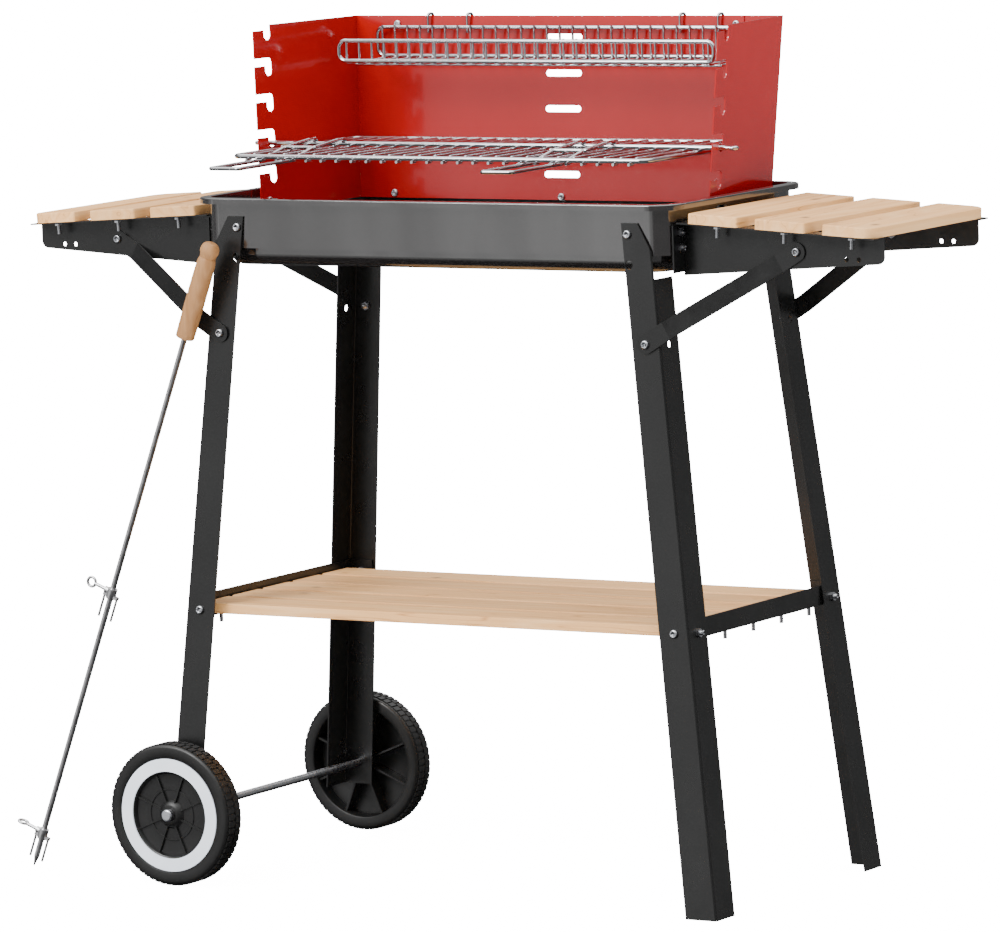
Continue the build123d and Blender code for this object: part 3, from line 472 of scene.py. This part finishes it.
def wheel_profile():
    """Outline of the wheel without its tread: inner bead, tyre, rim, disc, hub, bore, hollow back."""
    w = WHEEL_W
    bead = [(0.0600, 0.0020), (0.0608, 0.0006), (0.0622, 0.0), (0.0705, 0.0)]
    bead += [(0.0722, 0.0005), (0.0733, 0.0016)]
    tyre = [(TREAD_LOW_R, SHOULDER), (TREAD_LOW_R, w - SHOULDER), (0.0733, w - 0.0016), (0.0722, w - 0.0005)]
    rim = [(0.0705, w), (0.0614, w), (0.0606, w - 0.0004), (0.0602, RIM_FACE), (0.0455, RIM_FACE)]
    disc = [(0.0445, w - 0.0022), (0.0430, w - 0.0058), (0.0400, DISC_FACE), (0.0280, DISC_FACE)]
    disc += [(0.0274, w - 0.0052), (0.0262, w - 0.0052), (0.0256, DISC_FACE), (0.0150, DISC_FACE)]
    hub = [(0.0135, w - 0.0040), (0.0110, w - 0.0018), (0.0090, HUB_FACE), (BORE, HUB_FACE)]
    back = [(BORE, 0.0004), (0.0110, 0.0004), (0.0118, 0.0012), (0.0122, BACK_FACE)]
    back += [(0.0420, BACK_FACE), (0.0470, w - 0.0100), (0.0590, w - 0.0110)]
    return bead + tyre + rim + disc + hub + back


def wheel(name, side):
    """Moulded wheel: treaded tyre, recessed ribbed disc outside, hollow ribbed back inside."""
    bm = bmesh.new()
    lathe(bm, wheel_profile(), WHEEL_STEPS)
    tread(bm)
    for k in range(RIB_COUNT):
        turn = math.radians(360 / RIB_COUNT * k + RIB_START)
        slab(bm, (0.0125, -0.0007, WHEEL_W - 0.0066), (0.0438, 0.0007, WHEEL_W - 0.0038), turn)
        slab(bm, (0.0115, -0.0011, 0.0035), (0.0602, 0.0011, WHEEL_W - 0.0090), turn)
    bmesh.ops.remove_doubles(bm, verts=bm.verts, dist=WELD)
    low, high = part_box(name)
    middle = (low + high) / 2
    inner_y = low.y if side > 0 else high.y
    facing = Matrix.Rotation(math.radians(-90 * side), 4, "X")
    place = Matrix.Translation((middle.x, inner_y, middle.z)) @ facing
    finish_piece(bm, "tyre_" + name, WHEEL_BLACK, name, [name], place, smooth=30.0)


# ------------------------------------------------------------------ bolts
CROSS_LONG, CROSS_WIDE, CROSS_DEEP, CROSS_UNEVEN = 0.0052, 0.0013, 0.0014, 0.98
CROSSED = ("pan_leg_bolts", "brace_bolts", "shelf_bolts", "windshield_bolts", "tab_bolts")


def islands(bm):
    """Points of each group of connected vertices. The order of the groups differs between runs."""
    left = set(bm.verts)
    while left:
        group, edge = set(), [left.pop()]
        while edge:
            vert = edge.pop()
            group.add(vert)
            near = {e.other_vert(vert) for e in vert.link_edges} & left
            left -= near
            edge += near
        yield [v.co.copy() for v in group]


def bolt_head(points):
    """End of a straight bolt and the way it faces: meant for the head, but on some bolts the shank."""
    cloud = np.array(points)
    middle = cloud.mean(axis=0)
    axis = np.linalg.svd(cloud - middle)[2][0]
    along = (cloud - middle) @ axis
    out = np.linalg.norm(cloud - middle - np.outer(along, axis), axis=1)
    if along[out.argmax()] < 0:
        axis, along = -axis, -along
    return Vector(middle + axis * along.max()), Vector(axis)


def cross_recess(name):
    """Bolts of one node with a cross recess sunk in the end that bolt_head picks."""
    node = NODES[name]
    whole = bmesh.new()
    whole.from_mesh(node.data)
    bmesh.ops.remove_doubles(whole, verts=whole.verts, dist=1e-6)
    cut = bmesh.new()
    draw = random.Random(name)
    for points in islands(whole):
        top, axis = bolt_head(points)
        place = Matrix.Translation(top) @ axis.to_track_quat("Z", "Y").to_matrix().to_4x4()
        turn = draw.uniform(0, math.pi / 2)
        for quarter in (0, math.pi / 2):
            made = bmesh.ops.create_cube(cut, size=1.0)["verts"]
            long = CROSS_LONG * (1.0 if quarter else CROSS_UNEVEN)
            size = Matrix.Diagonal((long, CROSS_WIDE, 2 * CROSS_DEEP, 1))
            spin = Matrix.Rotation(turn + quarter, 4, "Z")
            bmesh.ops.transform(cut, matrix=place @ spin @ size, verts=made)
    bodies = []
    for bm, label in ((whole, "_whole"), (cut, "_cut")):
        mesh = bpy.data.meshes.new(name + label)
        bm.to_mesh(mesh)
        bm.free()
        obj = bpy.data.objects.new(name + label, mesh)
        SCENE.collection.objects.link(obj)
        bodies.append(obj)
    sink = bodies[0].modifiers.new("recess", "BOOLEAN")
    sink.object = bodies[1]
    sink.operation = "DIFFERENCE"
    sink.use_self = True
    bpy.context.view_layer.update()
    result = bodies[0].evaluated_get(bpy.context.evaluated_depsgraph_get()).to_mesh()
    made = bmesh.new()
    made.from_mesh(result)
    for obj in bodies:
        bpy.data.objects.remove(obj)
    finish_piece(made, "recessed_" + name, ZINC, "frame", [name])


# ------------------------------------------------------------------ spit handle
ROD_R = 0.00301
HANDLE_R, CAP_R, GROOVE_R = 0.0104, 0.0101, 0.0079
CAP_LENGTH, CAP_MIDDLE = 0.0165, 0.0095
CAP_UP, CAP_DOWN = 0.0095, 0.0060
CAP_STEPS, CAP_START, CAP_SWEEP = 8, -35, 125
HANDLE_SEED, HANDLE_LEAN = 77, math.radians(21.0)


def handle_axis():
    """Foot, direction and length of the handle, from its CAD node and the fork's slide."""
    slide = next(j for j in frame["record"]["behaviour"]["joints"] if j["name"] == "fork_upper_slide")
    axis = Vector(slide["axis"]).normalized()
    axis = axis if axis.z > 0 else -axis
    node = NODES["spit_handle"]
    points = [node.matrix_world @ v.co for v in node.data.vertices]
    heights = [p.dot(axis) for p in points]
    flat = [p - axis * h for p, h in zip(points, heights)]
    middle = Vector([(min(c) + max(c)) / 2 for c in zip(*flat)])
    return middle + axis * min(heights), axis, max(heights) - min(heights)


def spit_handle():
    """Turned pine handle: near cylinder with a cut foot, a groove and a rounded cap."""
    foot, axis, length = handle_axis()
    groove = length - CAP_LENGTH
    profile = [(ROD_R, 0.0), (0.0090, 0.0), (0.0097, 0.0005), (0.0100, 0.0014), (0.0102, 0.012)]
    profile += [(HANDLE_R, 0.035), (HANDLE_R, 0.065), (0.0101, groove - 0.0085), (0.0095, groove - 0.0035)]
    profile += [(0.0087, groove - 0.0010), (GROOVE_R, groove), (0.0086, groove + 0.0008)]
    for k in range(CAP_STEPS + 1):
        a = math.radians(CAP_START + CAP_SWEEP * k / CAP_STEPS)
        squeeze = CAP_UP if a > 0 else CAP_DOWN
        profile.append((CAP_R * max(math.cos(a), 0.02) ** 0.6, length - CAP_MIDDLE + squeeze * math.sin(a)))
    profile += [(0.0002, length * 0.5), (ROD_R, length * 0.49)]
    bm = bmesh.new()
    lathe(bm, profile, 64)
    place = Matrix.Translation(foot) @ axis.to_track_quat("Z", "Y").to_matrix().to_4x4()
    wood = pine("pine_spit_handle", 2, HANDLE_SEED, turn=(0, HANDLE_LEAN, 0), tones=HANDLE_TONES)
    finish_piece(bm, "turned_handle", wood, "spit", ["spit_handle"], place, smooth=50.0)


def dress_cad():
    """Materials of the CAD nodes."""
    slots = {s["node"]: s["material_slot"] for s in frame["record"]["subparts"]}
    for index, (name, obj) in enumerate(sorted(NODES.items())):
        slot = slots[name]
        if slot in BY_SLOT:
            paint(obj, BY_SLOT[slot])
        else:
            along = 0 if name.startswith("lower") else 1
            knots = knots_in(name, KNOT_SEED + index, 1)
            paint(obj, pine("pine_" + name, along, BOARD_SEED + index, knots))
    paint(NODES["charcoal_grate"], GRATE_STEEL)


make_stage()
dress_cad()
wheel("wheel_front", -1)
wheel("wheel_rear", 1)
spit_handle()
for bolts in CROSSED:
    cross_recess(bolts)
